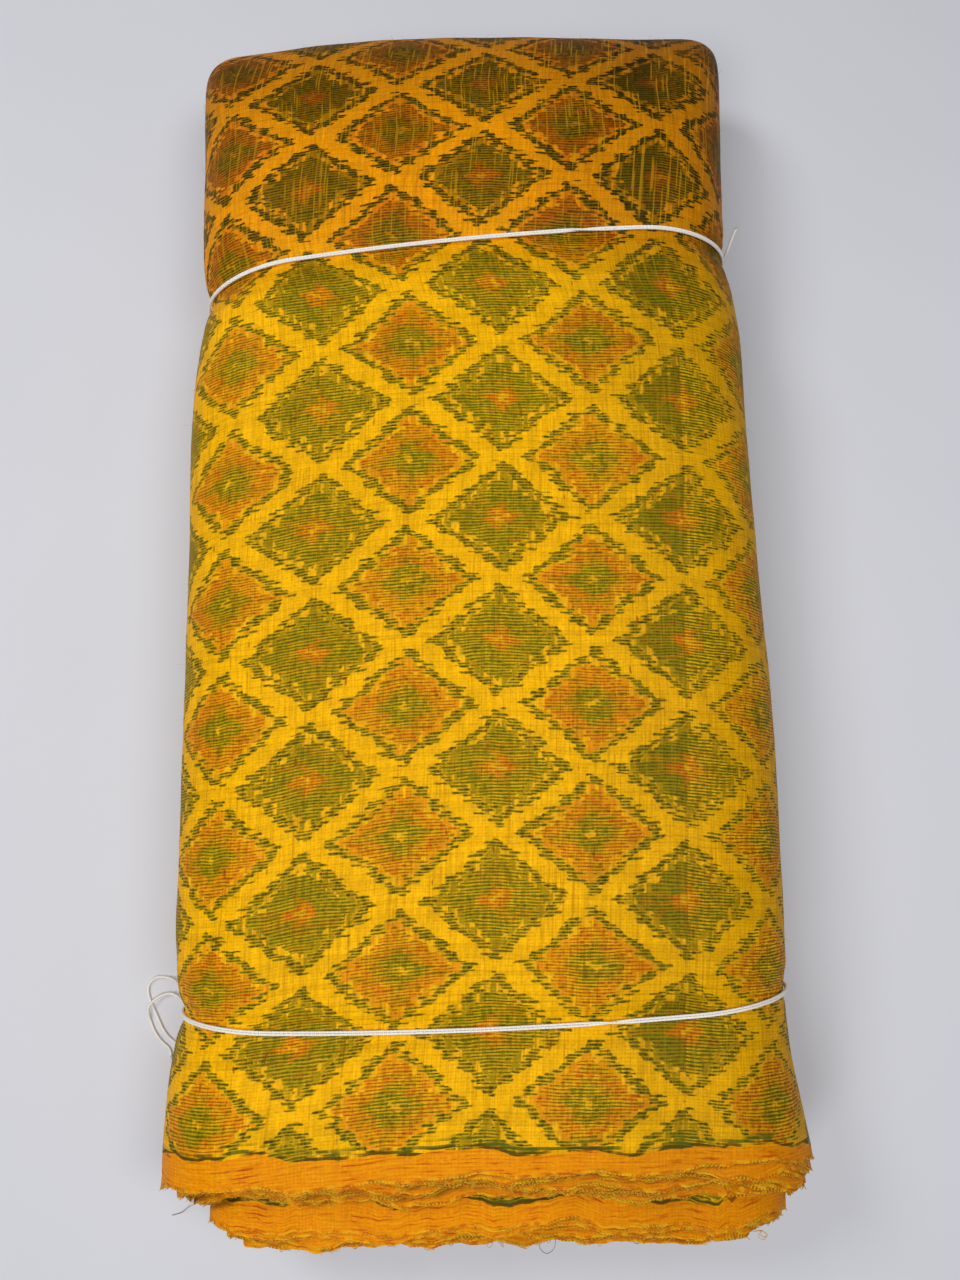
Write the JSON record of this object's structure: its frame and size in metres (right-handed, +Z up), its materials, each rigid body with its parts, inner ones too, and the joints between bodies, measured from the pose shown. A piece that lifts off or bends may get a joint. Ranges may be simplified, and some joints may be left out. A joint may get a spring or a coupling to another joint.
{
  "type": "ikat silk fabric bolt",
  "caption": "Length of ikat silk with a diamond lattice, folded selvedge to selvedge and wound flat, tied round with doubled white string near both ends.",
  "frame": {"origin": "middle of the bolt's bounding rectangle, on the surface it rests on, without the strings' free ends", "axes": "+X across the bolt, +Y along it from the stepped selvedge end to the rounded end, +Z up out of the broad upper side"},
  "size_m": [0.3106, 0.5788, 0.0844],
  "materials": {
    "ikat_silk": "soft silk sheen, yarn-dyed in blurred yellow-orange, green and rust diamonds",
    "white_string": "matte white cotton string"
  },
  "bodies": {
    "root": {"cloth_bolt": "ikat_silk", "upper_tie": "white_string", "lower_tie": "white_string", "upper_knot": "white_string", "lower_knot": "white_string", "upper_end_a": "white_string", "upper_end_b": "white_string", "lower_end_a": "white_string", "lower_end_b": "white_string"}
  },
  "joints": []
}
